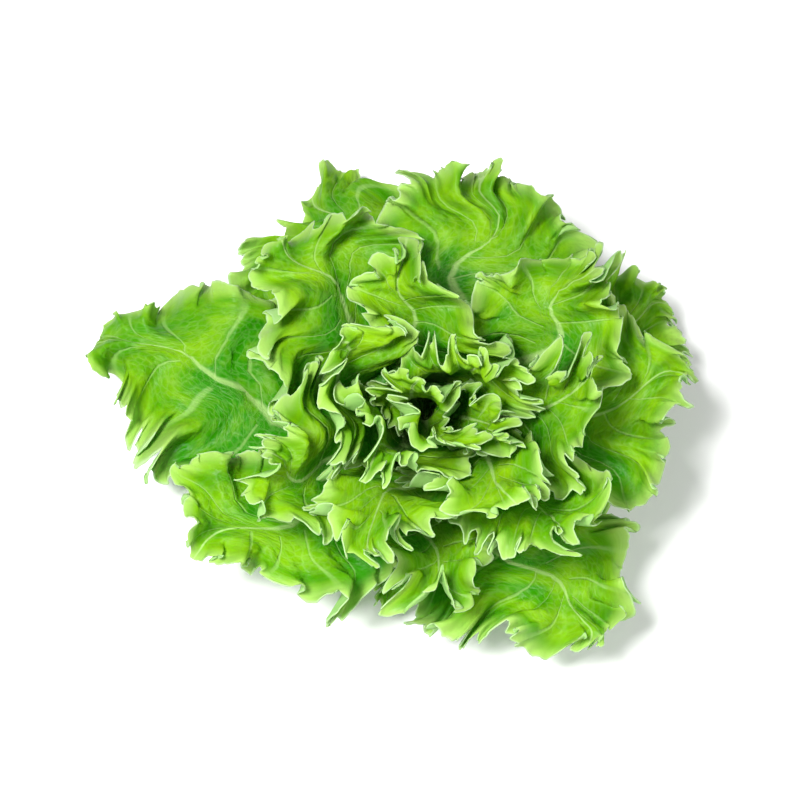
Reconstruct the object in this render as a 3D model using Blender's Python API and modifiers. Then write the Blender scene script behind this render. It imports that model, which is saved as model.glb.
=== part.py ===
# Loose-leaf lettuce head: a short cut stem that carries a spiral of frilled leaves, outermost first.
# Every leaf is its own solid. Units are millimetres and degrees until a mesh is made, then metres.

import math

import bpy
import numpy as np

MM = 0.001

# The head
LEAF_COUNT = 24
GOLDEN_ANGLE = 137.508  # each leaf grows this far round the stem from the one before
FIRST_AZIMUTH = -22.0  # direction of the outermost leaf
OUTER_TILT = 100.0  # how far the outermost leaf leans from upright
HEART_TILT = 6.0
TILT_POWER = 0.88  # below 1, the tilt changes faster towards the heart
PINWHEEL = -0.022  # tilt gained for each degree across an outer leaf, so that edges pass each other
FLATTER_FRONT = 0.04  # leaves at the front lie flatter and those at the back stand up
LEAN = (14.0, -28.0)  # how far the head leans over, at LEAN_HEIGHT
LEAN_HEIGHT = 120.0

# Openings between the leaves: direction, half width in degrees, tilt, reach in degrees of tilt, strength
OPENINGS = [
    (82.0, 45.0, 48.0, 15.0, 1.5),
    (190.0, 40.0, 66.0, 12.0, 1.2),
    (300.0, 45.0, 62.0, 12.0, 1.2),
]

# The stem: a tapering stump, cut flat across its foot
STEM_FOOT_R = 16.5
STEM_R = 17.4
STEM_TIP_R = 3.6
STEM_GAP = 0.6  # between the stem's side and the feet of the leaves
ROOT_LOW_Z = 10.0  # height at which the outermost leaf grows
ROOT_HIGH_Z = 50.0
STEM_TOP_Z = 48.0
STEM_SIDES = 32

# The arch that every leaf follows
ARCH_LENGTH = 150.0
# Lean at a leaf's foot as a share of its tilt: for an upright leaf, and what is added for the outermost one.
# TIP_LEAN is the same at ARCH_LENGTH: the outer leaves arch over and the inner ones stand.
ROOT_LEAN = (0.80, -0.22)
TIP_LEAN = (0.95, 0.46)
FLOOR_SOFT = 9.0  # leaves that droop below this height flatten out
FLOOR_REST = 1.8  # and stay this far above the table

# Leaf size, from the outermost leaf to the heart
OUTER_LENGTH = 136.0
HEART_LENGTH = 84.0
OUTER_HALF_WIDTH = 58.0
HEART_HALF_WIDTH = 29.0
OUTER_FOOT_HALF_WIDTH = 9.5
HEART_FOOT_HALF_WIDTH = 4.5
WIDEST_POWER = 1.75  # puts the widest place two thirds of the way up
TIP_POWER = 0.52  # below 1 blunts the tip
WRAP_SOFT_R = 10.0  # keeps narrow leaf feet from wrapping right round the stem

# Thickness
BLADE_THICK = 0.85
OUTER_RIB_THICK = 3.6
HEART_RIB_THICK = 2.2

# Frill: wide pleats that start deep in the blade, and folds along its margin
OUTER_PLEAT_HEIGHT = 11.0
HEART_PLEAT_HEIGHT = 8.0
OUTER_PLEAT_LENGTH = 36.0
HEART_PLEAT_LENGTH = 28.0
OUTER_FOLD_HEIGHT = 9.0
HEART_FOLD_HEIGHT = 8.0
OUTER_FOLD_LENGTH = 19.0
HEART_FOLD_LENGTH = 14.0
CURL_SHARE = 0.14  # how far each fold leans over its neighbour, as a share of a wave
ROOM_SHARE = 0.40  # a leaf's frill may use this much of the room to the next leaf
LOBE_REACH = 1.07  # lobes carry the margin out this much further than the plain leaf
OPEN_ROOM = 13.0  # degrees of room where no leaf lies next to it
EDGE_FADE = 9.0  # the next leaf's edge makes itself felt from this far away

# Leaves with sizes of their own, counted from the outside: length share, width share, turn in degrees
OWN_SIZES = {
    0: (0.55, 0.72, -6.4),
    1: (1.19, 1.23, -3.2),
    2: (0.38, 0.85, -16.0),
    3: (1.12, 0.72, 0.8),
    4: (1.24, 1.11, -7.2),
    5: (0.91, 1.02, -0.8),
    6: (1.24, 1.11, -4.8),
    7: (0.95, 0.97, -12.0),
    8: (1.06, 1.00, 14.0),
    9: (1.08, 1.10, -9.6),
    10: (0.72, 1.00, 0.0),
    11: (1.08, 1.06, -3.2),
    12: (0.95, 1.00, 0.0),
    13: (0.90, 0.96, 0.0),
    14: (1.00, 1.00, 0.0),
    15: (0.95, 1.00, 0.0),
    16: (1.00, 1.00, 0.0),
    17: (1.00, 1.00, 0.0),
    18: (1.00, 1.00, 0.0),
    20: (1.00, 1.00, 6.0),
    21: (0.93, 0.84, -6.0),
    22: (0.94, 0.88, -7.0),
}

# Swells that push the whole head sideways: size, length, heading and rise in degrees, lag in radians
SWELLS = [
    (9.0, 112.0, 20.0, 20.0, 0.4),
    (7.0, 84.0, 140.0, 35.0, 2.1),
    (5.5, 60.0, 80.0, 15.0, 4.0),
    (4.5, 47.0, 205.0, 25.0, 1.2),
    (3.2, 36.0, 115.0, 10.0, 5.3),
]

COLOURS = {
    "outer_leaf": (0.23, 0.47, 0.04, 1.0),
    "inner_leaf": (0.34, 0.58, 0.07, 1.0),
    "cut_stem": (0.62, 0.70, 0.36, 1.0),
}


def mix(outer, heart, depth):
    """A value for a leaf at this depth: 0 is the outermost leaf and 1 the heart."""
    return outer + (heart - outer) * depth


def turned(degrees):
    """The same direction, from -180 to 180."""
    return (np.asarray(degrees) + 180.0) % 360.0 - 180.0


def smooth(low, high, value):
    x = np.clip((value - low) / (high - low), 0.0, 1.0)
    return x * x * (3.0 - 2.0 * x)


def arch(along, tilt):
    """Radius and height of the point this far along the arch of a leaf that leans by tilt."""
    tilt = np.maximum(tilt, 1.0)
    share = tilt / OUTER_TILT
    first = np.radians(tilt * (ROOT_LEAN[0] + ROOT_LEAN[1] * share))
    bend = np.radians(tilt * (TIP_LEAN[0] + TIP_LEAN[1] * share**1.5)) - first
    bend = np.where(np.abs(bend) < 1e-4, 1e-4, bend) / ARCH_LENGTH
    last = first + bend * along
    radius = mix(STEM_TIP_R, STEM_R, share) + STEM_GAP + (np.cos(first) - np.cos(last)) / bend
    height = mix(ROOT_HIGH_Z, ROOT_LOW_Z, share) + (np.sin(last) - np.sin(first)) / bend
    return radius, height


def opened(tilt, azimuth):
    """The tilt once the leaves on both sides of each opening have moved apart."""
    moved = tilt
    for heading, half_width, middle, reach, strength in OPENINGS:
        near = np.exp(-((turned(azimuth - heading) / half_width) ** 2))
        away = (tilt - middle) / reach
        moved = moved + strength * 0.5 * reach * near * away * np.exp(-(away**2))
    return moved * (1.0 - FLATTER_FRONT * np.sin(np.radians(azimuth)))


def degree_apart(along, tilt, azimuth):
    """Millimetres between the arches of two leaves whose tilts are a degree apart."""
    near = arch(along, opened(tilt, azimuth))
    far = arch(along, opened(tilt + 1.0, azimuth))
    return np.hypot(far[0] - near[0], far[1] - near[1])


class Leaf:
    """The sizes of one leaf, and the waves in its margin."""

    def __init__(self, number):
        depth = number / (LEAF_COUNT - 1)
        rng = np.random.default_rng(401 + number)
        self.number = number
        self.depth = depth
        jitter = 1.0 + 0.05 * rng.uniform(-1, 1, 2)
        long, wide, turn = OWN_SIZES.get(number, (*jitter, 0.0))
        self.azimuth = FIRST_AZIMUTH + GOLDEN_ANGLE * number + turn
        self.tilt = HEART_TILT + (OUTER_TILT - HEART_TILT) * (1.0 - depth) ** TILT_POWER
        self.pinwheel = PINWHEEL * (1.0 - depth)
        self.length = long * mix(OUTER_LENGTH, HEART_LENGTH, depth**1.15)
        self.half_width = wide * mix(OUTER_HALF_WIDTH, HEART_HALF_WIDTH, depth)
        self.foot = mix(OUTER_FOOT_HALF_WIDTH, HEART_FOOT_HALF_WIDTH, depth)
        self.rib = mix(OUTER_RIB_THICK, HEART_RIB_THICK, depth)
        share = np.linspace(0.0, 1.0, 400)
        edge = np.stack([self.width_at(share**0.5), self.length * share**0.5], axis=1)
        steps = np.linalg.norm(np.diff(edge, axis=0), axis=1)
        self.edge_length = steps.sum()
        self.edge_share = np.concatenate([[0.0], np.cumsum(steps)]) / self.edge_length
        self.edge_up = share**0.5
        self.pleats = 2 * self.edge_length / mix(OUTER_PLEAT_LENGTH, HEART_PLEAT_LENGTH, depth)
        self.folds = 2 * self.edge_length / mix(OUTER_FOLD_LENGTH, HEART_FOLD_LENGTH, depth)
        self.pleat_height = mix(OUTER_PLEAT_HEIGHT, HEART_PLEAT_HEIGHT, depth)
        self.fold_height = mix(OUTER_FOLD_HEIGHT, HEART_FOLD_HEIGHT, depth)
        self.phases = rng.uniform(0, 2 * math.pi, 12)

    def width_at(self, up):
        """Half width at this share of the leaf's length."""
        up = np.clip(up, 0.0, 1.0)
        blade = np.sin(math.pi * up**WIDEST_POWER) ** 1.0
        blade = self.half_width * np.clip(blade, 0.0, 1.0) ** TIP_POWER
        return np.hypot(self.foot * (1.0 - up), blade)

    def wander(self, share, first, turns):
        """A slow, smooth random line along the margin, from -1 to 1."""
        one = np.sin(2 * math.pi * turns * share + self.phases[first])
        two = np.sin(2 * math.pi * turns * 1.9 * share + self.phases[first + 1])
        return 0.6 * one + 0.4 * two

    def spread_radius(self, along, tilt):
        return np.hypot(arch(along, tilt)[0], WRAP_SOFT_R)

    def flat_point(self, share, rim):
        """Across and along the flat leaf. share runs round the margin, and rim from the midrib to the margin."""
        side = np.where(share < 0.5, -1.0, 1.0)
        from_foot = 1.0 - np.abs(2.0 * share - 1.0)
        up = np.interp(from_foot, self.edge_share, self.edge_up)
        edge_across = side * self.width_at(up)
        edge_along = self.length * up
        vein_along = self.length * 0.80 * up**1.12
        return edge_across * rim, vein_along + (edge_along - vein_along) * rim, up

    def presence(self, across, along):
        """1 where this leaf is, 0 where it isn't, with a soft edge outside it."""
        half_width = LOBE_REACH * self.width_at(np.clip(along / self.length, 0.0, 0.98))
        inside = half_width + 1.0 - np.abs(across)
        below_tip = LOBE_REACH * self.length - along
        near = np.minimum(inside, below_tip)
        return smooth(-EDGE_FADE, 0.0, near)


def rooms(leaf, leaves, along, azimuth):
    """Degrees of tilt between this leaf and the next ones, inwards and outwards. The table counts too."""
    own = leaf.tilt + leaf.pinwheel * turned(azimuth - leaf.azimuth)
    inward = np.full(np.shape(along), OPEN_ROOM**-6)
    outward = inward.copy()
    for other in leaves:
        if other is leaf:
            continue
        turn = turned(azimuth - other.azimuth)
        across = np.radians(turn) * other.spread_radius(along, other.tilt)
        there = other.presence(across, along)
        apart = other.tilt + other.pinwheel * turn - own
        closeness = (there / np.maximum(np.abs(apart), 0.5)) ** 6
        inward += np.where(apart < 0, closeness, 0.0)
        outward += np.where(apart > 0, closeness, 0.0)
    height = arch(along, opened(own, azimuth))[1]
    drop = height - arch(along, opened(own + 1.0, azimuth))[1]
    outward += (np.maximum(drop, 0.0) / np.maximum(height - FLOOR_SOFT * 0.6, 1.0)) ** 6
    return inward ** (-1 / 6), outward ** (-1 / 6)


def warp(points):
    """Leans the head over and runs slow swells through it. Near the stem they die away."""
    moved = points.copy()
    for size, length, heading, rise, lag in SWELLS:
        way, climb = np.radians(heading), np.radians(rise)
        level = math.cos(climb)
        along = np.array([math.cos(way) * level, math.sin(way) * level, math.sin(climb)])
        push = np.array([-math.sin(way), math.cos(way), 0.0])
        wave = np.sin(2 * math.pi * (moved @ along) / length + lag)
        strength = smooth(22.0, 85.0, np.linalg.norm(moved, axis=-1))
        moved = moved + (strength * size * wave)[..., None] * push
    leaning = (np.maximum(points[..., 2] - ROOT_HIGH_Z * 0.5, 0.0) / LEAN_HEIGHT) ** 1.5
    moved[..., 0] += LEAN[0] * leaning
    moved[..., 1] += LEAN[1] * leaning
    return moved


def leaf_point(leaf, leaves, share, rim):
    """The point in space for a place on a leaf, and the leaf's thickness there, in millimetres."""
    pleat_phase = 2 * math.pi * (leaf.pleats * share + 0.16 * leaf.wander(share, 0, 2.2)) + leaf.phases[2]
    fold_phase = 2 * math.pi * (leaf.folds * share + 0.24 * leaf.wander(share, 7, 3.1)) + leaf.phases[9]
    up = leaf.flat_point(share, rim)[2]
    strength = smooth(0.12, 0.42, up)
    deep = strength * rim**1.2
    edge = strength * rim**2.0
    across, along, _ = leaf.flat_point(share, rim)
    azimuth = leaf.azimuth + np.degrees(across / leaf.spread_radius(along, leaf.tilt))
    free = degree_apart(along, leaf.tilt, azimuth) * np.minimum(*rooms(leaf, leaves, along, azimuth))
    ease = 1.0 / (1.0 + (leaf.fold_height / (ROOM_SHARE * free)) ** 3) ** (2 / 3)
    slid = share - CURL_SHARE * ease * edge * np.sin(2 * fold_phase) / leaf.folds
    slid = slid - 0.6 * CURL_SHARE * ease * deep * np.sin(2 * pleat_phase) / leaf.pleats
    slid = np.clip(slid, 0.0, 1.0)
    lobes = 1.0 + 0.05 * strength * leaf.wander(share, 10, 3.7) - 0.04 * strength * np.sin(fold_phase)
    across, along, _ = leaf.flat_point(slid, rim * lobes)
    azimuth = leaf.azimuth + np.degrees(across / leaf.spread_radius(along, leaf.tilt))

    swell = leaf.wander(share, 3, 1.6)
    wave = deep * (1.0 + 0.4 * swell) * np.sin(pleat_phase) * leaf.pleat_height
    wave += edge * (1.0 - 0.4 * swell) * np.sin(fold_phase) * leaf.fold_height
    wave += 0.4 * leaf.pleat_height * rim * strength * leaf.wander(share, 5, 2.3)
    per_degree = degree_apart(along, leaf.tilt, azimuth)
    rib_width = mix(7.5, 1.6, np.clip(along / leaf.length, 0, 1)) * leaf.foot / OUTER_FOOT_HALF_WIDTH
    rib = (leaf.rib - BLADE_THICK) * (1.0 - np.clip(along / leaf.length, 0, 1)) ** 0.9
    thick = BLADE_THICK + rib * np.exp(-((across / rib_width) ** 2))

    inward, outward = rooms(leaf, leaves, along, azimuth)
    inner_limit = ROOM_SHARE * inward
    outer_limit = np.maximum(ROOM_SHARE * outward - thick / per_degree, 0.3)
    limit = np.where(wave < 0, inner_limit, outer_limit)
    wanted = wave / per_degree
    moved = wanted / (1.0 + np.abs(wanted / limit) ** 3) ** (1 / 3)
    tilt = leaf.tilt + leaf.pinwheel * (azimuth - leaf.azimuth) + moved
    turn = np.radians(azimuth)
    radius, height = arch(along, opened(tilt, azimuth))
    points = warp(np.stack([radius * np.cos(turn), radius * np.sin(turn), height], axis=-1))
    height = points[..., 2]
    floor_depth = FLOOR_SOFT - FLOOR_REST
    low = FLOOR_REST + floor_depth * np.exp(np.minimum(height - FLOOR_SOFT, 0.0) / floor_depth)
    points[..., 2] = np.where(height > FLOOR_SOFT, height, low)
    return points, thick


def leaf_rows(leaf):
    """(rim, steps) for each row of the leaf's net, from the midrib out to the margin."""
    fine = 56 if leaf.depth < 0.28 else 48 if leaf.depth < 0.55 else 40
    return [(0.0, fine // 8), (0.40, fine // 4), (0.74, fine // 2), (1.0, fine)]


def stitch(inner, outer):
    """Triangles between two rows of vertex numbers, where outer has as many steps as inner or twice that."""
    triangles = []
    double = len(outer) > len(inner)
    for i in range(len(inner) - 1):
        a, b = inner[i], inner[i + 1]
        if double:
            c, d, e = outer[2 * i : 2 * i + 3]
            triangles += [(a, c, d), (a, d, b), (b, d, e)]
        else:
            c, d = outer[i : i + 2]
            triangles += [(a, c, d), (a, d, b)]
    return triangles


def leaf_net(leaf, leaves, rows):
    """Points in millimetres, thicknesses and triangles of the leaf's upper face."""
    points, thicks, numbers = [], [], []
    for rim, steps in rows:
        first = sum(len(p) for p in points)
        if rim == 0.0:
            share = np.linspace(0.0, 0.5, steps + 1)
            numbers.append([*range(steps + 1), *range(steps - 1, -1, -1)])
        else:
            share = np.linspace(0.0, 1.0, 2 * steps + 1)
            numbers.append([*range(first, first + 2 * steps + 1)])
        where, thick = leaf_point(leaf, leaves, share, np.full(len(share), rim))
        points.append(where)
        thicks.append(thick)
    triangles = []
    for inner, outer in zip(numbers, numbers[1:]):
        triangles += stitch(inner, outer)
    return np.concatenate(points), np.concatenate(thicks), [t for t in triangles if len(set(t)) == 3]


def material(name, roughness):
    made = bpy.data.materials.new(name)
    made.use_nodes = True
    shader = made.node_tree.nodes["Principled BSDF"]
    shader.inputs["Base Color"].default_value = COLOURS[name]
    shader.inputs["Roughness"].default_value = roughness
    shader.inputs["Metallic"].default_value = 0.0
    made.diffuse_color = COLOURS[name]
    return made


def make_leaf(leaf, leaves, collection, finish):
    points, thicks, triangles = leaf_net(leaf, leaves, leaf_rows(leaf))
    mesh = bpy.data.meshes.new(f"leaf_{leaf.number + 1:02d}")
    mesh.from_pydata((points * MM).tolist(), [], triangles)
    mesh.shade_smooth()
    mesh.materials.append(finish)
    made = bpy.data.objects.new(mesh.name, mesh)
    collection.objects.link(made)
    share = made.vertex_groups.new(name="thickness")
    for number, thick in enumerate(thicks):
        share.add([number], float(thick / leaf.rib), "REPLACE")
    solid = made.modifiers.new("Thickness", "SOLIDIFY")
    solid.thickness = leaf.rib * MM
    solid.offset = -1.0
    solid.vertex_group = share.name
    return made


def make_stem(collection, finish):
    """A turned stump: flat cut foot, side that follows the leaves' feet, rounded top."""
    profile = [(0.0, STEM_TOP_Z), (STEM_TIP_R * 0.7, STEM_TOP_Z - 0.8), (STEM_TIP_R, STEM_TOP_Z - 5.0)]
    profile += [(STEM_R, ROOT_LOW_Z), (STEM_R, 1.5), (STEM_FOOT_R, 0.0), (0.0, 0.0)]
    mesh = bpy.data.meshes.new("stem")
    points = [(r * MM, 0.0, z * MM) for r, z in profile]
    mesh.from_pydata(points, [(i, i + 1) for i in range(len(profile) - 1)], [])
    mesh.materials.append(finish)
    made = bpy.data.objects.new("stem", mesh)
    collection.objects.link(made)
    turn = made.modifiers.new("Turned", "SCREW")
    turn.steps = STEM_SIDES
    turn.render_steps = STEM_SIDES
    turn.use_merge_vertices = True
    turn.merge_threshold = 0.0001
    turn.use_normal_calculate = True
    return made


def main():
    for thing in list(bpy.data.objects):
        bpy.data.objects.remove(thing, do_unlink=True)
    head = bpy.data.collections.new("lettuce_head")
    bpy.context.scene.collection.children.link(head)
    finishes = {name: material(name, 0.45) for name in COLOURS}
    make_stem(head, finishes["cut_stem"])
    leaves = [Leaf(number) for number in range(LEAF_COUNT)]
    for leaf in leaves:
        finish = finishes["outer_leaf" if leaf.depth < 0.55 else "inner_leaf"]
        make_leaf(leaf, leaves, head, finish)


main()
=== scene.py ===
import math

import bpy
import numpy as np
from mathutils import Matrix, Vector


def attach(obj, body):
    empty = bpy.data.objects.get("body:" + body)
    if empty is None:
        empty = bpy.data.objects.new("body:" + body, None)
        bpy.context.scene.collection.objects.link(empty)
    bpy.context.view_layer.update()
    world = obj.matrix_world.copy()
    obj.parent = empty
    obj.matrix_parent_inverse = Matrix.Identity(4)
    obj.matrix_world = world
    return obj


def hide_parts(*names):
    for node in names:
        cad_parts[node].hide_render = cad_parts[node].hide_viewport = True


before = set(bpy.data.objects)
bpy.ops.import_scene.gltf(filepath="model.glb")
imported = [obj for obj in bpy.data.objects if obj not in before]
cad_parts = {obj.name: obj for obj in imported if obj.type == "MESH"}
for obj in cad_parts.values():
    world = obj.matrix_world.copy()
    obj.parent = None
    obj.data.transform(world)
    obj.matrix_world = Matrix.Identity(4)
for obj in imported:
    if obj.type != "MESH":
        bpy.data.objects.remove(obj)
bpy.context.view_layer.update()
millimetre = 0.001
print("frame loaded")

# The whole head: a spiral of leaves round a short stem. Millimetres and degrees, as in the solids.
head = {
    "leaves": 24,
    "goldenAngle": 137.508,
    "firstAzimuth": -22.0,
    "seed": 401,
    "outerTilt": 100.0,  # lean from upright
    "heartTilt": 6.0,
    "tiltPower": 0.88,  # lower lays more leaves flat
    "pinwheel": -0.022,  # change of a leaf's tilt for each degree round the stem
    "flatterFront": 0.04,
    "lean": (14.0, -28.0),  # of the heart, in x and y
    "leanFrom": 25.0,
    "leanHeight": 120.0,
    "leanPower": 1.5,
    # places where leaves stand further apart: heading, half width, tilt, reach, strength
    "openings": [
        (82.0, 45.0, 48.0, 15.0, 1.5),
        (190.0, 40.0, 66.0, 12.0, 1.2),
        (300.0, 45.0, 62.0, 12.0, 1.2),
    ],
    # slow waves that bend all leaves together: size, length, heading, rise, lag
    "swells": [
        (9.0, 112.0, 20.0, 20.0, 0.4),
        (7.0, 84.0, 140.0, 35.0, 2.1),
        (5.5, 60.0, 80.0, 15.0, 4.0),
        (4.5, 47.0, 205.0, 25.0, 1.2),
        (3.2, 36.0, 115.0, 10.0, 5.3),
    ],
    "swellStart": (22.0, 85.0),  # distance from the stem's foot over which they set in
    "archLength": 150.0,
    "rootLean": (0.80, -0.22),  # share of its tilt that a leaf's foot has; the second part grows with tilt
    "tipLean": (0.95, 0.46),
    "tipLeanPower": 1.5,
    "stemRadius": 17.4,
    "stemTipRadius": 3.6,
    "stemGap": 0.6,
    "rootLow": 10.0,
    "rootHigh": 50.0,
    "floorSoft": 9.0,  # leaves are lifted gently below this height
    "floorRest": 1.8,  # and stay above this one
}

# One leaf: pairs run from the outermost leaf to the heart
leafShape = {
    "length": (136.0, 84.0),
    "halfWidth": (58.0, 29.0),
    "footHalfWidth": (9.5, 4.5),
    "rib": (3.6, 2.2),
    "ribWidth": (7.5, 1.6),  # at an outer leaf's foot and tip
    "ribTaper": 0.9,
    "blade": 0.6,
    "lengthPower": 1.15,
    "widestPower": 1.75,  # higher puts the widest place nearer the tip
    "tipPower": 0.52,  # lower fills the outline out
    "veinReach": 0.80,  # how far up the leaf the side veins start
    "veinPower": 1.12,
    "wrapSoft": 10.0,  # keeps a leaf's foot from wrapping round the stem
    "jitter": 0.05,
    # leaves fitted to the photo's outline: length and width as shares, and turn in degrees
    "own": {
        0: (0.55, 0.72, -6.4),
        1: (1.19, 1.23, -3.2),
        2: (0.38, 0.85, -16.0),
        3: (1.12, 0.72, 0.8),
        4: (1.24, 1.11, -7.2),
        5: (0.91, 1.02, -0.8),
        6: (1.24, 1.11, -4.8),
        7: (0.95, 0.97, -12.0),
        8: (1.06, 1.00, 14.0),
        9: (1.08, 1.10, -9.6),
        10: (0.72, 1.00, 0.0),
        11: (1.08, 1.06, -3.2),
        12: (0.95, 1.00, 0.0),
        13: (0.90, 0.96, 0.0),
        14: (1.00, 1.00, 0.0),
        15: (0.95, 1.00, 0.0),
        16: (1.00, 1.00, 0.0),
        17: (1.00, 1.00, 0.0),
        18: (1.00, 1.00, 0.0),
        20: (1.00, 1.00, 6.0),
        21: (0.93, 0.84, -6.0),
        22: (0.94, 0.88, -7.0),
    },
}

# The frill, in millimetres. Pleats and folds are the solids' own; the rest is only here.
frill = {
    "seed": 907,
    "pleatHeight": (11.0, 8.0),
    "pleatLength": (36.0, 28.0),
    "foldHeight": (9.0, 8.0),
    "foldLength": (19.0, 14.0),
    "ruffleHeight": (5.0, 3.6),
    "ruffleLength": (10.0, 7.4),
    "crimpHeight": 1.6,
    "crimpLength": (4.6, 4.6),
    "toothDepth": 0.9,
    "toothLength": (2.8, 2.8),
    "lobeDepth": (3.0, 2.4),
    "lobeRound": 0.7,  # lower makes the hollows between lobes narrower
    "scallopDepth": (4.6, 3.2),
    "flare": 5.0,  # outward bend of the lip
    "rollBack": 0.09,  # share of the blade that rolls back over the face on some folds
    "rollSize": (0.3, 1.4),  # least and most of it, from fold to fold
    "puckerHeight": 2.8,
    "puckerLength": 8.0,
    "puckerRim": (0.06, 0.30),
    "puckerUp": (0.10, 0.30),
    "sideVeins": 9.0,
    "veinWander": (0.35, 3.0),
    "frillStart": (0.12, 0.42),  # the frill sets in over this part of the margin, from foot to tip
    "uneven": (0.6, 5.0),  # how much the lobes of one leaf differ, and how often
    "swell": (0.4, 1.6),  # the same for pleats against folds
    "drift": (0.4, 2.3),  # slow bend of the whole blade, as a share of a pleat
    "outline": (0.05, 3.7),  # slow change of how far the margin reaches, and how often
    "bulge": 0.05,  # how much further it reaches on inward folds
    "growth": 0.035,  # and everywhere in the frill
    "curl": 0.14,  # how far a crest swings over its hollow
    "curlShares": (0.6, 0.75, 0.8),  # of it, for pleats, folds and ruffles
    # how far each kind of wave wanders, in waves, and how often
    "pleatWander": (0.16, 2.2),
    "foldWander": (0.24, 3.1),
    "ruffleWander": (0.35, 7.3),
    "crimpWander": (0.5, 11.0),
    "toothWander": (0.6, 13.0),
    # how steeply each fades from the margin towards the midrib
    "pleatPower": 1.5,
    "foldPower": 2.8,
    "rufflePower": 3.0,
    "lobePower": 5,
    "flarePower": 6,
    "scallopPower": 7,
    "rollPower": 9,
    "crimpPower": 12,
    # share of the gap to the next leaf that folds may take, and ruffles inwards and outwards
    "roomShare": 0.40,
    "fineRoom": (0.24, 0.32),
    "openRoom": 13.0,  # degrees where no leaf is near
    "leastRoom": 0.3,
    "leastApart": 0.5,
    "roomPower": 6,  # higher counts only the nearest leaf
    "lobeReach": 1.07,
    "edgeFade": 9.0,
    # steps along half a margin, up to this depth in the head
    "steps": ((0.28, 288), (0.55, 256), (1.0, 208)),
}


def mix(pair, depth):
    return pair[0] + (pair[1] - pair[0]) * depth


def turned(degrees):
    return (np.asarray(degrees) + 180.0) % 360.0 - 180.0


def smooth(low, high, value):
    x = np.clip((value - low) / (high - low), 0.0, 1.0)
    return x * x * (3.0 - 2.0 * x)


def held(wanted, limit):
    # nearly straight while small, and never past the limit
    return wanted / (1.0 + np.abs(wanted / limit) ** 3) ** (1 / 3)


def arch(along, tilt):
    # distance from the stem's axis and height, at this place along a leaf that leans by this tilt
    tilt = np.maximum(tilt, 1.0)
    share = tilt / head["outerTilt"]
    first = np.radians(tilt * (head["rootLean"][0] + head["rootLean"][1] * share))
    tipLean = head["tipLean"][0] + head["tipLean"][1] * share ** head["tipLeanPower"]
    bend = np.radians(tilt * tipLean) - first
    bend = np.where(np.abs(bend) < 1e-4, 1e-4, bend) / head["archLength"]
    last = first + bend * along
    foot = mix((head["stemTipRadius"], head["stemRadius"]), share) + head["stemGap"]
    radius = foot + (np.cos(first) - np.cos(last)) / bend
    height = mix((head["rootHigh"], head["rootLow"]), share) + (np.sin(last) - np.sin(first)) / bend
    return radius, height


def opened(tilt, azimuth):
    moved = tilt
    for heading, halfWidth, middle, reach, strength in head["openings"]:
        near = np.exp(-((turned(azimuth - heading) / halfWidth) ** 2))
        away = (tilt - middle) / reach
        moved = moved + strength * 0.5 * reach * near * away * np.exp(-(away**2))
    return moved * (1.0 - head["flatterFront"] * np.sin(np.radians(azimuth)))


def degreeApart(along, tilt, azimuth):
    # millimetres to a leaf that leans one degree more
    near = arch(along, opened(tilt, azimuth))
    far = arch(along, opened(tilt + 1.0, azimuth))
    return np.hypot(far[0] - near[0], far[1] - near[1])


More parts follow.
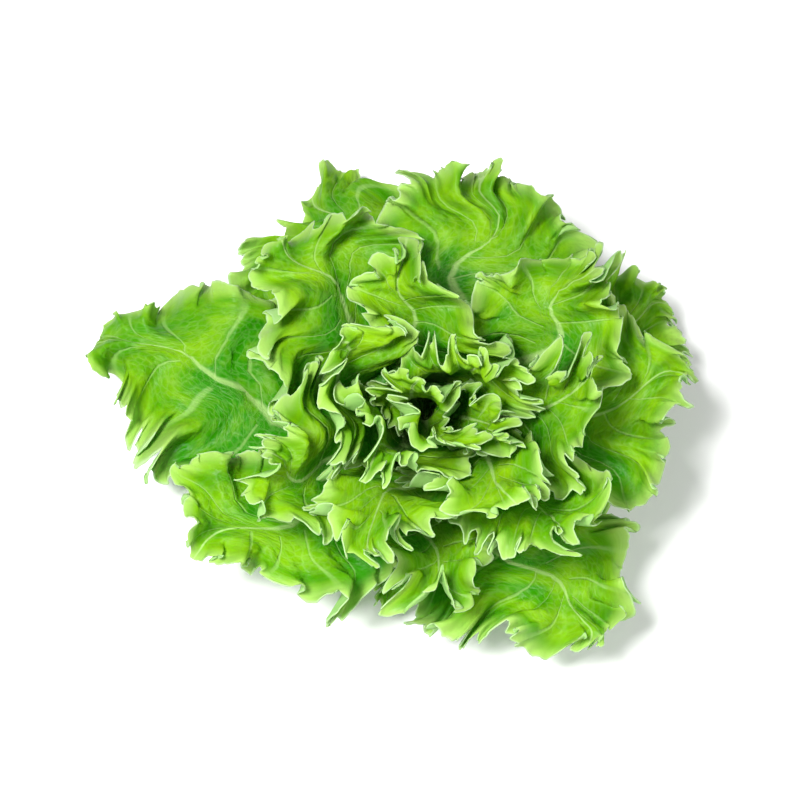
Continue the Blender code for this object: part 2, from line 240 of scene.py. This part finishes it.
class Leaf:
    def __init__(self, number):
        depth = number / (head["leaves"] - 1)
        rng = np.random.default_rng(head["seed"] + number)
        self.number = number
        self.depth = depth
        jitter = 1.0 + leafShape["jitter"] * rng.uniform(-1, 1, 2)
        long, wide, turn = leafShape["own"].get(number, (*jitter, 0.0))
        self.azimuth = head["firstAzimuth"] + head["goldenAngle"] * number + turn
        tiltRange = head["outerTilt"] - head["heartTilt"]
        self.tilt = head["heartTilt"] + tiltRange * (1.0 - depth) ** head["tiltPower"]
        self.pinwheel = head["pinwheel"] * (1.0 - depth)
        self.length = long * mix(leafShape["length"], depth ** leafShape["lengthPower"])
        self.halfWidth = wide * mix(leafShape["halfWidth"], depth)
        self.foot = mix(leafShape["footHalfWidth"], depth)
        self.rib = mix(leafShape["rib"], depth)
        # one side of the margin, measured along its own curve, and the waves on both sides
        self.edgeUp = np.linspace(0.0, 1.0, 400) ** 0.5
        edge = np.stack([self.widthAt(self.edgeUp), self.length * self.edgeUp], axis=1)
        steps = np.linalg.norm(np.diff(edge, axis=0), axis=1)
        edgeLength = steps.sum()
        self.edgeShare = np.concatenate([[0.0], np.cumsum(steps)]) / edgeLength
        self.counts = {}
        for kind in ("pleat", "fold", "ruffle", "crimp", "tooth"):
            self.counts[kind] = 2 * edgeLength / mix(frill[kind + "Length"], depth)
        self.phases = rng.uniform(0, 2 * math.pi, 12)
        # the fine frill draws from a second source, so that the folds stay those of the solids
        self.finePhases = np.random.default_rng(frill["seed"] + number).uniform(0, 2 * math.pi, 16)

    def widthAt(self, up):
        up = np.clip(up, 0.0, 1.0)
        bulge = np.clip(np.sin(math.pi * up ** leafShape["widestPower"]), 0.0, 1.0)
        return np.hypot(self.foot * (1.0 - up), self.halfWidth * bulge ** leafShape["tipPower"])

    def wander(self, share, first, turns, phases=None):
        # two sine waves that don't repeat together
        phases = self.phases if phases is None else phases
        one = np.sin(2 * math.pi * turns * share + phases[first])
        two = np.sin(2 * math.pi * turns * 1.9 * share + phases[first + 1])
        return 0.6 * one + 0.4 * two

    def waves(self, kind, share, first, phases=None):
        # how many waves of this kind lie before this place on the margin
        amount, turns = frill[kind + "Wander"]
        return self.counts[kind] * share + amount * self.wander(share, first, turns, phases)

    def spreadRadius(self, along, tilt):
        return np.hypot(arch(along, tilt)[0], leafShape["wrapSoft"])

    def flatPoint(self, share, rim):
        # across and along the flat leaf, from the midrib (rim 0) to the margin (rim 1)
        side = np.where(share < 0.5, -1.0, 1.0)
        up = np.interp(1.0 - np.abs(2.0 * share - 1.0), self.edgeShare, self.edgeUp)
        edgeAcross = side * self.widthAt(up)
        edgeAlong = self.length * up
        veinAlong = self.length * leafShape["veinReach"] * up ** leafShape["veinPower"]
        return edgeAcross * rim, veinAlong + (edgeAlong - veinAlong) * rim, up

    def presence(self, across, along):
        # 1 where this leaf is, fading to 0 just past its margin
        reach = frill["lobeReach"]
        inside = reach * self.widthAt(np.clip(along / self.length, 0.0, 0.98)) + 1.0 - np.abs(across)
        return smooth(-frill["edgeFade"], 0.0, np.minimum(inside, reach * self.length - along))


def rooms(leaf, leaves, along, azimuth):
    # degrees of tilt to the next leaf inwards and outwards
    power = frill["roomPower"]
    own = leaf.tilt + leaf.pinwheel * turned(azimuth - leaf.azimuth)
    inward = np.full(np.shape(along), frill["openRoom"] ** -power)
    outward = inward.copy()
    for other in leaves:
        if other is leaf:
            continue
        turn = turned(azimuth - other.azimuth)
        there = other.presence(np.radians(turn) * other.spreadRadius(along, other.tilt), along)
        apart = other.tilt + other.pinwheel * turn - own
        closeness = (there / np.maximum(np.abs(apart), frill["leastApart"])) ** power
        inward += np.where(apart < 0, closeness, 0.0)
        outward += np.where(apart > 0, closeness, 0.0)
    # the table is a neighbour too
    height = arch(along, opened(own, azimuth))[1]
    drop = height - arch(along, opened(own + 1.0, azimuth))[1]
    free = np.maximum(height - head["floorSoft"] * 0.6, 1.0)
    outward += (np.maximum(drop, 0.0) / free) ** power
    return inward ** (-1 / power), outward ** (-1 / power)


def warp(points):
    # bends and leans all leaves together, so that none meet
    moved = points.copy()
    for size, length, heading, rise, lag in head["swells"]:
        way, climb = np.radians(heading), np.radians(rise)
        level = math.cos(climb)
        along = np.array([math.cos(way) * level, math.sin(way) * level, math.sin(climb)])
        push = np.array([-math.sin(way), math.cos(way), 0.0])
        wave = np.sin(2 * math.pi * (moved @ along) / length + lag)
        strength = smooth(*head["swellStart"], np.linalg.norm(moved, axis=-1))
        moved = moved + (strength * size * wave)[..., None] * push
    leaning = np.maximum(points[..., 2] - head["leanFrom"], 0.0) / head["leanHeight"]
    leaning = leaning ** head["leanPower"]
    moved[..., 0] += head["lean"][0] * leaning
    moved[..., 1] += head["lean"][1] * leaning
    return moved


def veinPhase(leaf, share):
    # whole numbers fall on the side veins
    amount, turns = frill["veinWander"]
    return 2 * frill["sideVeins"] * share + amount * leaf.wander(share, 4, turns, leaf.finePhases)


def eased(height, room):
    # how far a fold of this height can swing out, squared: a low fold bends over less
    return 1.0 / (1.0 + (height / np.maximum(room, 0.1)) ** 3) ** (2 / 3)


def leafPoint(leaf, leaves, share, rim):
    fine = leaf.finePhases
    pleatPhase = 2 * math.pi * leaf.waves("pleat", share, 0) + leaf.phases[2]
    foldPhase = 2 * math.pi * leaf.waves("fold", share, 7) + leaf.phases[9]
    rufflePhase = 2 * math.pi * leaf.waves("ruffle", share, 0, fine) + fine[6]
    crimpPhase = 2 * math.pi * leaf.waves("crimp", share, 2, fine) + fine[7]
    toothPhase = math.pi * leaf.waves("tooth", share, 8, fine)
    up = leaf.flatPoint(share, rim)[2]
    strength = smooth(*frill["frillStart"], up)
    deep = strength * rim ** frill["pleatPower"]
    edge = strength * rim ** frill["foldPower"]
    outerEdge = strength * rim ** frill["rufflePower"]
    lip = strength * rim ** frill["crimpPower"]
    pleatHeight = mix(frill["pleatHeight"], leaf.depth)
    foldHeight = mix(frill["foldHeight"], leaf.depth)
    ruffleHeight = mix(frill["ruffleHeight"], leaf.depth)

    # room at this place in millimetres, before anything swings
    across, along, _ = leaf.flatPoint(share, rim)
    azimuth = leaf.azimuth + np.degrees(across / leaf.spreadRadius(along, leaf.tilt))
    room = degreeApart(along, leaf.tilt, azimuth) * np.minimum(*rooms(leaf, leaves, along, azimuth))
    foldEase = eased(foldHeight, frill["roomShare"] * room)
    ruffleEase = eased(ruffleHeight, frill["fineRoom"][1] * room)
    pleatCurl, foldCurl, ruffleCurl = [part * frill["curl"] for part in frill["curlShares"]]
    slid = share - foldCurl * edge * foldEase * np.sin(2 * foldPhase) / leaf.counts["fold"]
    slid = slid - pleatCurl * deep * foldEase * np.sin(2 * pleatPhase) / leaf.counts["pleat"]
    slid = slid - ruffleCurl * outerEdge * ruffleEase * np.sin(2 * rufflePhase) / leaf.counts["ruffle"]
    slid = np.clip(slid, 0.0, 1.0)

    # a lobe on each fold, a round scallop on each ruffle, and two or three teeth on that
    amount, turns = frill["uneven"]
    uneven = 1.0 + amount * leaf.wander(share, 11, turns, fine)
    lobes = (1.0 - np.abs(np.sin(foldPhase)) ** frill["lobeRound"]) * mix(frill["lobeDepth"], leaf.depth)
    notch = lobes * uneven * strength * rim ** frill["lobePower"]
    offCrest = 2.0 * np.mod(rufflePhase / (2 * math.pi) + 0.25, 1.0) - 1.0
    scallops = (1.0 - np.sqrt(1.0 - offCrest**2)) * mix(frill["scallopDepth"], leaf.depth)
    notch = notch + scallops * strength * rim ** frill["scallopPower"]
    notch = notch + (1.0 - np.abs(np.sin(toothPhase))) * frill["toothDepth"] * lip
    edgeAcross, edgeAlong, _ = leaf.flatPoint(share, 1.0)
    veinAlong = leaf.flatPoint(share, 0.0)[1]
    cut = notch / np.maximum(np.hypot(edgeAcross, edgeAlong - veinAlong), 8.0)
    rolled = smooth(0.0, 0.9, -np.sin(foldPhase)) * np.clip(uneven, *frill["rollSize"])
    rolled = rolled * foldEase * strength * rim ** frill["rollPower"]
    cut = cut + frill["rollBack"] * rolled
    amount, turns = frill["outline"]
    reach = 1.0 + amount * strength * leaf.wander(share, 10, turns)
    reach = reach - frill["bulge"] * edge * np.sin(foldPhase)
    across, along, _ = leaf.flatPoint(slid, rim * (reach - cut + frill["growth"] * strength))
    azimuth = leaf.azimuth + np.degrees(across / leaf.spreadRadius(along, leaf.tilt))

    amount, turns = frill["swell"]
    swell = leaf.wander(share, 3, turns)
    wave = deep * (1.0 + amount * swell) * np.sin(pleatPhase) * pleatHeight
    wave += edge * (1.0 - amount * swell) * np.sin(foldPhase) * foldHeight
    amount, turns = frill["drift"]
    wave += amount * pleatHeight * rim * strength * leaf.wander(share, 5, turns)
    perDegree = degreeApart(along, leaf.tilt, azimuth)
    upLeaf = np.clip(along / leaf.length, 0, 1)
    ribWidth = mix(leafShape["ribWidth"], upLeaf) * leaf.foot / leafShape["footHalfWidth"][0]
    ribThick = (leaf.rib - leafShape["blade"]) * (1.0 - upLeaf) ** leafShape["ribTaper"]
    thick = leafShape["blade"] + ribThick * np.exp(-((across / ribWidth) ** 2))

    inward, outward = rooms(leaf, leaves, along, azimuth)
    innerLimit = frill["roomShare"] * inward
    outerLimit = np.maximum(frill["roomShare"] * outward - thick / perDegree, frill["leastRoom"])
    moved = held(wave / perDegree, np.where(wave < 0, innerLimit, outerLimit))

    fineWave = outerEdge * (0.5 + 0.5 * uneven) * np.sin(rufflePhase) * ruffleHeight
    fineWave += frill["flare"] * strength * rim ** frill["flarePower"]
    fineWave += lip * np.sin(crimpPhase) * frill["crimpHeight"]
    quilt = np.abs(np.sin(math.pi * veinPhase(leaf, share)))
    lumpPhase = 2 * math.pi * along / frill["puckerLength"] + 3.0 * leaf.wander(share, 12, 2.0, fine)
    lumps = 0.55 + 0.45 * np.sin(lumpPhase)
    lumps = frill["puckerHeight"] * quilt * lumps * smooth(*frill["puckerRim"], rim)
    fineWave -= lumps * smooth(*frill["puckerUp"], up)
    fineLimit = np.where(fineWave < 0, frill["fineRoom"][0] * inward, frill["fineRoom"][1] * outward)
    moved = moved + held(fineWave / perDegree, fineLimit)

    tilt = leaf.tilt + leaf.pinwheel * (azimuth - leaf.azimuth) + moved
    turn = np.radians(azimuth)
    radius, height = arch(along, opened(tilt, azimuth))
    points = warp(np.stack([radius * np.cos(turn), radius * np.sin(turn), height], axis=-1))
    height = points[..., 2]
    floorDepth = head["floorSoft"] - head["floorRest"]
    low = head["floorRest"] + floorDepth * np.exp(np.minimum(height - head["floorSoft"], 0.0) / floorDepth)
    points[..., 2] = np.where(height > head["floorSoft"], height, low)
    return points, thick, across, along


def leafRows(leaf):
    # rows from the midrib out to the margin, closer together where the frill is finer
    fine = next(steps for depth, steps in frill["steps"] if leaf.depth <= depth)
    # rows by how many times coarser they are than the margin
    rims = {
        16: (0.0, 0.13),
        8: (0.26, 0.38),
        4: (0.48, 0.57, 0.65),
        2: (0.72, 0.78, 0.83),
        1: (0.875, 0.915, 0.95, 0.977, 1.0),
    }
    return [(rim, fine // part) for part, row in rims.items() for rim in row]


def stitch(inner, outer):
    # triangles between two rows, the outer with as many steps or twice as many
    double = len(outer) > len(inner)
    triangles = []
    for i in range(len(inner) - 1):
        a, b = inner[i], inner[i + 1]
        if double:
            c, d, e = outer[2 * i : 2 * i + 3]
            triangles += [(a, c, d), (a, d, b), (b, d, e)]
        else:
            c, d = outer[i : i + 2]
            triangles += [(a, c, d), (a, d, b)]
    return triangles


def leafNet(leaf, leaves):
    # points, their thickness, and what the leaf skin reads: place on the blade and place among the veins
    points, thicks, blade, veins, numbers = [], [], [], [], []
    count = 0
    for rim, steps in leafRows(leaf):
        if rim == 0.0:
            share = np.linspace(0.0, 0.5, steps + 1)
            numbers.append([*range(steps + 1), *range(steps - 1, -1, -1)])
        else:
            share = np.linspace(0.0, 1.0, 2 * steps + 1)
            numbers.append([*range(count, count + 2 * steps + 1)])
        where, thick, across, along = leafPoint(leaf, leaves, share, np.full(len(share), rim))
        count += len(share)
        points.append(where)
        thicks.append(thick)
        blade.append(np.stack([across, along, along / leaf.length], axis=1))
        level = np.ones(len(share))
        veins.append(np.stack([veinPhase(leaf, share), rim * level, leaf.depth * level], axis=1))
    triangles = []
    for inner, outer in zip(numbers, numbers[1:]):
        triangles += stitch(inner, outer)
    triangles = [t for t in triangles if len(set(t)) == 3]
    return (*[np.concatenate(part) for part in (points, thicks, blade, veins)], triangles)


def hexColour(text):
    # sRGB hex to the linear values that shaders take
    values = [int(text[i : i + 2], 16) / 255 for i in (1, 3, 5)]
    return (*[v / 12.92 if v <= 0.04045 else ((v + 0.055) / 1.055) ** 2.4 for v in values], 1.0)


def addNode(tree, kind, settings=None, values=None, links=None):
    node = tree.nodes.new(kind)
    for name, value in (settings or {}).items():
        setattr(node, name, value)
    for name, value in (values or {}).items():
        node.inputs[name].default_value = value
    for name, source in (links or {}).items():
        tree.links.new(source, node.inputs[name])
    return node


def newMaterial(name):
    made = bpy.data.materials.new(name)
    made.use_nodes = True
    made.node_tree.nodes.clear()
    return made, made.node_tree


# Fresh leaf: a thin wet blade that lets light through, deep green inside and paler at its frilled margin,
# with painted shade on the lower part of each leaf and a painted highlight on the margin and lip.
# The eye gets satin highlights, yellow-green glow where light comes from behind, and a pale net of veins.
leafFinish = {
    "deep": "#2e8600",
    "fresh": "#90c00e",
    # the margin colour is partly the frill's own paler green and partly a painted highlight; the lip colour
    # is a painted highlight
    "margin": "#b0d46c",
    "lip": "#c8e2ae",
    "rib": "#b6d884",
    "under": "#a4d180",
    "glow": "#74c800",
    "ior": 1.4,
    "specular": 0.2,
    "roughness": (0.33, 0.49),
    "lightThrough": 0.38,
    "ribMillimetres": (5.0, 0.5),  # half its width, at the foot and near the tip
    "veinWidth": (0.012, 0.055),  # core and edge of a side vein, as shares of the way to the next
    "mottleMillimetres": 18.0,
    "netMillimetres": 3.4,
    "netWobble": 2.4,
    "wobbleScale": 0.22,
    "crinkleMillimetres": 5.0,
    "patternShift": 400.0,  # from the outermost leaf to the heart, so that no two look alike
    # how much of each colour shows; pairs run over the mottling or from foot to tip
    "freshShare": (0.02, 0.74),
    "heartFresh": 0.3,
    # painted shade: the lower part of each leaf, deep among the others, is pushed towards the deep green
    "paintedFootShade": (-0.5, 0.06),
    "underShare": (0.55, 0.8),
    # margin: partly its own paler green, partly a painted highlight; lip: a painted highlight
    "marginPaleAndHighlightShare": 0.9,
    "lipHighlightShare": 0.8,
    "netShare": 0.11,
    "veinShare": 0.36,
    "ribShare": 0.70,
    "footShare": 0.9,
    # the relief in metres, and the parts of it next to the side veins' 1
    "veinRelief": 0.0005,
    "reliefStrength": 0.7,
    "netRelief": 0.2,
    "crinkleRelief": 3.0,
}


def ramp(tree, value, low, high, toLow=0.0, toHigh=1.0):
    curve = {"interpolation_type": "SMOOTHSTEP"}
    values = {"From Min": low, "From Max": high, "To Min": toLow, "To Max": toHigh}
    return addNode(tree, "ShaderNodeMapRange", curve, values, {"Value": value}).outputs[0]


def blendColour(tree, share, first, second):
    node = addNode(tree, "ShaderNodeMix", {"data_type": "RGBA"}, None, {"Factor": share})
    for name, source in (("A", first), ("B", second)):
        socket = next(s for s in node.inputs if s.name == name and s.type == "RGBA")
        if isinstance(source, str):
            socket.default_value = hexColour(source)
        else:
            tree.links.new(source, socket)
    return next(s for s in node.outputs if s.type == "RGBA")


def sums(tree, kind, first, second):
    node = addNode(tree, "ShaderNodeMath", {"operation": kind})
    for socket, source in zip(node.inputs, (first, second)):
        if isinstance(source, (int, float)):
            socket.default_value = source
        else:
            tree.links.new(source, socket)
    return node.outputs[0]


def leafMaterial(name, upper):
    made, tree = newMaterial(name)
    out = addNode(tree, "ShaderNodeOutputMaterial")
    bladeMap = addNode(tree, "ShaderNodeAttribute", {"attribute_name": "blade"})
    veinMap = addNode(tree, "ShaderNodeAttribute", {"attribute_name": "vein"})
    blade = addNode(tree, "ShaderNodeSeparateXYZ", None, None, {"Vector": bladeMap.outputs["Vector"]}).outputs
    vein = addNode(tree, "ShaderNodeSeparateXYZ", None, None, {"Vector": veinMap.outputs["Vector"]}).outputs

    # midrib: broad and pale at the foot, thin at the tip
    fromRib = sums(tree, "ABSOLUTE", blade["X"], 0.0)
    ribWidth = ramp(tree, blade["Z"], 0.0, 0.9, *leafFinish["ribMillimetres"])
    rib = ramp(tree, sums(tree, "DIVIDE", fromRib, ribWidth), 0.35, 1.3, 1.0, 0.0)

    # side veins: thin lines that fade into the frill
    toVein = sums(tree, "PINGPONG", vein["X"], 0.5)
    sideVein = ramp(tree, toVein, *leafFinish["veinWidth"], 1.0, 0.0)
    sideVein = sums(tree, "MULTIPLY", sideVein, ramp(tree, vein["Y"], 0.55, 0.95, 1.0, 0.15))

    # each leaf reads its own part of the patterns
    leafShift = sums(tree, "MULTIPLY", vein["Z"], leafFinish["patternShift"])
    links = {"X": blade["X"], "Y": blade["Y"], "Z": leafShift}
    place = addNode(tree, "ShaderNodeCombineXYZ", None, None, links).outputs[0]

    # the net between the veins, drawn from cell edges that wobble
    values = {"Scale": leafFinish["wobbleScale"], "Detail": 2.0}
    wobble = addNode(tree, "ShaderNodeTexNoise", None, values, {"Vector": place}).outputs["Color"]
    values = {1: (leafFinish["netWobble"], leafFinish["netWobble"], 0.0)}
    links = {0: wobble, 2: place}
    shifted = addNode(tree, "ShaderNodeVectorMath", {"operation": "MULTIPLY_ADD"}, values, links)
    values = {"Scale": 1.0 / leafFinish["netMillimetres"]}
    links = {"Vector": shifted.outputs[0]}
    cells = addNode(tree, "ShaderNodeTexVoronoi", {"feature": "DISTANCE_TO_EDGE"}, values, links)
    net = ramp(tree, cells.outputs["Distance"], 0.0, 0.22, 1.0, 0.0)
    net = sums(tree, "MULTIPLY", net, ramp(tree, vein["Y"], 0.45, 0.85, 1.0, 0.0))

    # colour: deep green mottled with fresh green, with painted shade deepening the lower part of each leaf;
    # pale at the margin, partly its own colour and partly a painted highlight, and a painted highlight along
    # the lip
    values = {"Scale": 1.0 / leafFinish["mottleMillimetres"], "Detail": 3.0, "Roughness": 0.55}
    mottle = addNode(tree, "ShaderNodeTexNoise", None, values, {"Vector": place}).outputs["Fac"]
    freshShareWithShade = ramp(tree, mottle, 0.30, 0.72, *leafFinish["freshShare"])
    freshShareWithShade = sums(tree, "ADD", sums(tree, "MULTIPLY", vein["Z"], leafFinish["heartFresh"]), freshShareWithShade)
    # painted shade: deeper green on the lower part of each leaf, down in the head
    freshShareWithShade = sums(tree, "ADD", freshShareWithShade, ramp(tree, blade["Z"], 0.40, 0.85, *leafFinish["paintedFootShade"]))
    colour = blendColour(tree, freshShareWithShade, leafFinish["deep"], leafFinish["fresh"])
    # pale margin: partly the frill's own paler green, partly a painted highlight
    marginPaleAndHighlight = ramp(tree, vein["Y"], 0.70, 1.0, 0.0, leafFinish["marginPaleAndHighlightShare"])
    colour = blendColour(tree, marginPaleAndHighlight, colour, leafFinish["margin"])
    # painted highlight: a thin pale line along the lip
    lipHighlight = ramp(tree, vein["Y"], 0.955, 1.0, 0.0, leafFinish["lipHighlightShare"])
    colour = blendColour(tree, lipHighlight, colour, leafFinish["lip"])
    paleLines = [(net, "netShare"), (sideVein, "veinShare"), (rib, "ribShare")]
    for line, share in paleLines:
        colour = blendColour(tree, sums(tree, "MULTIPLY", line, leafFinish[share]), colour, leafFinish["rib"])
    atFoot = ramp(tree, blade["Z"], 0.0, 0.26, leafFinish["footShare"], 0.0)
    colour = blendColour(tree, atFoot, colour, leafFinish["rib"])
    if not upper:
        atUnderside = ramp(tree, mottle, 0.2, 0.8, *leafFinish["underShare"])
        colour = blendColour(tree, atUnderside, colour, leafFinish["under"])

    # relief: veins sunk in the upper skin and raised under the leaf
    values = {"Scale": 1.0 / leafFinish["crinkleMillimetres"], "Detail": 2.0}
    crinkle = addNode(tree, "ShaderNodeTexNoise", None, values, {"Vector": place}).outputs["Fac"]
    relief = sums(tree, "ADD", sums(tree, "MULTIPLY", net, leafFinish["netRelief"]), sideVein)
    relief = sums(tree, "ADD", relief, sums(tree, "MULTIPLY", crinkle, leafFinish["crinkleRelief"]))
    values = {"Strength": leafFinish["reliefStrength"], "Distance": leafFinish["veinRelief"]}
    bump = addNode(tree, "ShaderNodeBump", {"invert": upper}, values, {"Height": relief}).outputs[0]
    gloss = ramp(tree, mottle, 0.25, 0.75, *leafFinish["roughness"])

    values = {"IOR": leafFinish["ior"], "Specular IOR Level": leafFinish["specular"]}
    links = {"Base Color": colour, "Roughness": gloss, "Normal": bump}
    skin = addNode(tree, "ShaderNodeBsdfPrincipled", None, values, links).outputs[0]
    # light from behind comes out in the glow colour, and least so through the midrib
    ownShare = sums(tree, "MULTIPLY", sums(tree, "ADD", rib, 0.35), 0.7)
    throughColour = blendColour(tree, ownShare, leafFinish["glow"], colour)
    links = {"Color": throughColour, "Normal": bump}
    through = addNode(tree, "ShaderNodeBsdfTranslucent", None, None, links).outputs[0]
    both = addNode(tree, "ShaderNodeMixShader", None, {0: leafFinish["lightThrough"]}, {1: skin, 2: through})
    tree.links.new(both.outputs[0], out.inputs["Surface"])
    return made


# Lettuce stem: moist pale flesh, cut flat with a knife. The eye gets a soft sheen, green skin at the side
# and fine strands that run up it.
stemFinish = {
    "flesh": "#dfe8bd",
    "skin": "#a9c877",
    "dry": "#c3a06c",
    "ior": 1.4,
    "roughness": 0.48,
    "strandRelief": 0.0004,
    "reliefStrength": 0.6,
    "strandMillimetres": 1.1,
    "strandStretch": 0.12,  # lower draws the strands out further up the stem
    "patchMillimetres": 8.0,
    "skinRise": (0.001, 0.012),  # metres above the cut over which the skin begins
    # how much of each colour shows
    "skinShare": 0.8,
    "strandShare": 0.35,
    "dryShare": 0.4,
}


def stemMaterial():
    made, tree = newMaterial("moistStemFlesh")
    out = addNode(tree, "ShaderNodeOutputMaterial")
    place = addNode(tree, "ShaderNodeTexCoord").outputs["Object"]
    metres = addNode(tree, "ShaderNodeSeparateXYZ", None, None, {"Vector": place}).outputs
    values = {"Scale": (1.0, 1.0, stemFinish["strandStretch"])}
    stretched = addNode(tree, "ShaderNodeMapping", None, values, {"Vector": place}).outputs[0]
    values = {"Scale": 1.0 / (stemFinish["strandMillimetres"] * millimetre), "Detail": 3.0}
    strands = addNode(tree, "ShaderNodeTexNoise", None, values, {"Vector": stretched}).outputs["Fac"]
    values = {"Scale": 1.0 / (stemFinish["patchMillimetres"] * millimetre), "Detail": 2.0}
    patches = addNode(tree, "ShaderNodeTexNoise", None, values, {"Vector": place}).outputs["Fac"]
    fromFoot = ramp(tree, metres["Z"], *stemFinish["skinRise"], 0.0, stemFinish["skinShare"])
    colour = blendColour(tree, fromFoot, stemFinish["flesh"], stemFinish["skin"])
    strandShow = ramp(tree, strands, 0.35, 0.75, 0.0, stemFinish["strandShare"])
    colour = blendColour(tree, strandShow, colour, stemFinish["flesh"])
    dryShow = ramp(tree, patches, 0.56, 0.75, 0.0, stemFinish["dryShare"])
    colour = blendColour(tree, dryShow, colour, stemFinish["dry"])
    values = {"Strength": stemFinish["reliefStrength"], "Distance": stemFinish["strandRelief"]}
    bump = addNode(tree, "ShaderNodeBump", None, values, {"Height": strands}).outputs[0]
    values = {"Roughness": stemFinish["roughness"], "IOR": stemFinish["ior"]}
    links = {"Base Color": colour, "Normal": bump}
    skin = addNode(tree, "ShaderNodeBsdfPrincipled", None, values, links)
    tree.links.new(skin.outputs[0], out.inputs["Surface"])
    return made


def setAttribute(mesh, name, values):
    made = mesh.attributes.new(name, "FLOAT_VECTOR", "POINT")
    made.data.foreach_set("vector", np.ascontiguousarray(values, np.float32).ravel())


def makeLeaf(leaf, leaves, finishes):
    points, thicks, blade, veins, triangles = leafNet(leaf, leaves)
    mesh = bpy.data.meshes.new(f"frilledLeaf{leaf.number + 1:02d}")
    mesh.from_pydata((points * millimetre).tolist(), [], triangles)
    mesh.shade_smooth()
    setAttribute(mesh, "blade", blade)
    setAttribute(mesh, "vein", veins)
    for finish in finishes:
        mesh.materials.append(finish)
    made = bpy.data.objects.new(mesh.name, mesh)
    bpy.context.scene.collection.objects.link(made)
    group = made.vertex_groups.new(name="thickness")
    for number, thick in enumerate(thicks):
        group.add([number], float(thick / leaf.rib), "REPLACE")
    solid = made.modifiers.new("thickness", "SOLIDIFY")
    solid.thickness = leaf.rib * millimetre
    solid.offset = -1.0
    solid.vertex_group = group.name
    solid.material_offset = 1
    cadName = f"leaf_{leaf.number + 1:02d}"
    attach(made, "root")
    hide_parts(cadName)


leaves = [Leaf(number) for number in range(head["leaves"])]
finishes = [leafMaterial("upperLeafSkin", True), leafMaterial("lowerLeafSkin", False)]
for leaf in leaves:
    makeLeaf(leaf, leaves, finishes)
print("leaves made")

stemSkin = stemMaterial()
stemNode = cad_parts["stem"]
for spot in stemNode.material_slots:
    spot.material = stemSkin
print("stem finished")

# Plain pale floor, soft light from the upper left, and a room with pale walls and a dim ceiling
studio = {
    "floorColour": "#f4f4f4",
    "floorRoughness": 0.8,
    "floorHalf": 0.9,
    "floorDrop": 0.0004,  # just under the cut foot
    "roomTop": 0.22,
    "roomSides": 0.95,
    "roomRise": (0.05, 0.75),
    "aim": (0.0, 0.0, 0.06),
    # name, place, size in metres and power in watts
    "lamps": [
        ("key", (-0.45, -0.25, 1.25), 0.40, 31.5),
        ("fill", (0.75, -0.65, 0.9), 0.9, 8.0),
    ],
}


def makeStudio():
    half = studio["floorHalf"]
    mesh = bpy.data.meshes.new("floor")
    corners = [(-half, -half, 0), (half, -half, 0), (half, half, 0), (-half, half, 0)]
    mesh.from_pydata(corners, [], [(0, 1, 2, 3)])
    # matte white board: the eye gets soft shadows and no shine
    made, tree = newMaterial("matteBoard")
    out = addNode(tree, "ShaderNodeOutputMaterial")
    values = {"Base Color": hexColour(studio["floorColour"]), "Roughness": studio["floorRoughness"]}
    board = addNode(tree, "ShaderNodeBsdfPrincipled", None, values)
    tree.links.new(board.outputs[0], out.inputs["Surface"])
    mesh.materials.append(made)
    floor = bpy.data.objects.new("floor", mesh)
    floor.location.z = -studio["floorDrop"]
    bpy.context.scene.collection.objects.link(floor)
    world = bpy.data.worlds.new("brightRoom")
    world.use_nodes = True
    room = world.node_tree
    way = addNode(room, "ShaderNodeTexCoord").outputs["Generated"]
    rise = addNode(room, "ShaderNodeSeparateXYZ", None, None, {"Vector": way}).outputs["Z"]
    room.nodes["Background"].inputs["Color"].default_value = (1, 1, 1, 1)
    glow = ramp(room, rise, *studio["roomRise"], studio["roomSides"], studio["roomTop"])
    room.links.new(glow, room.nodes["Background"].inputs["Strength"])
    bpy.context.scene.world = world
    aim = Vector(studio["aim"])
    for name, place, size, power in studio["lamps"]:
        lamp = bpy.data.lights.new(name, "AREA")
        lamp.energy = power
        lamp.size = size
        holder = bpy.data.objects.new(name, lamp)
        holder.location = place
        holder.rotation_euler = (aim - Vector(place)).to_track_quat("-Z", "Y").to_euler()
        bpy.context.scene.collection.objects.link(holder)


# The camera looks down at 65 degrees, so that the head is 300 mm over 602 of the photo's 800 pixels
shot = {
    "elevation": 65.0,
    "lens": 100.0,
    "sensor": 36.0,
    "viewWidth": 0.400,
    "imagePixels": 800,
    "stemFootPixel": (425.0, 480.0),
}


def makeCamera():
    rise = math.radians(shot["elevation"])
    back = Vector((0.0, -math.cos(rise), math.sin(rise)))
    turn = (-back).to_track_quat("-Z", "Y")
    pixel = shot["viewWidth"] / shot["imagePixels"]
    middle = shot["imagePixels"] / 2
    distance = shot["viewWidth"] * shot["lens"] / shot["sensor"]
    aside, above = [place - middle for place in shot["stemFootPixel"]]
    lens = bpy.data.cameras.new("camera")
    lens.lens = shot["lens"]
    lens.sensor_width = shot["sensor"]
    camera = bpy.data.objects.new("camera", lens)
    camera.rotation_mode = "QUATERNION"
    camera.rotation_quaternion = turn
    camera.location = back * distance + turn @ Vector((-aside * pixel, above * pixel, 0.0))
    bpy.context.scene.collection.objects.link(camera)
    bpy.context.scene.camera = camera


makeStudio()
makeCamera()
bpy.context.scene.view_settings.view_transform = "Standard"  # keeps the greens vivid and the floor white
print("studio and camera made")
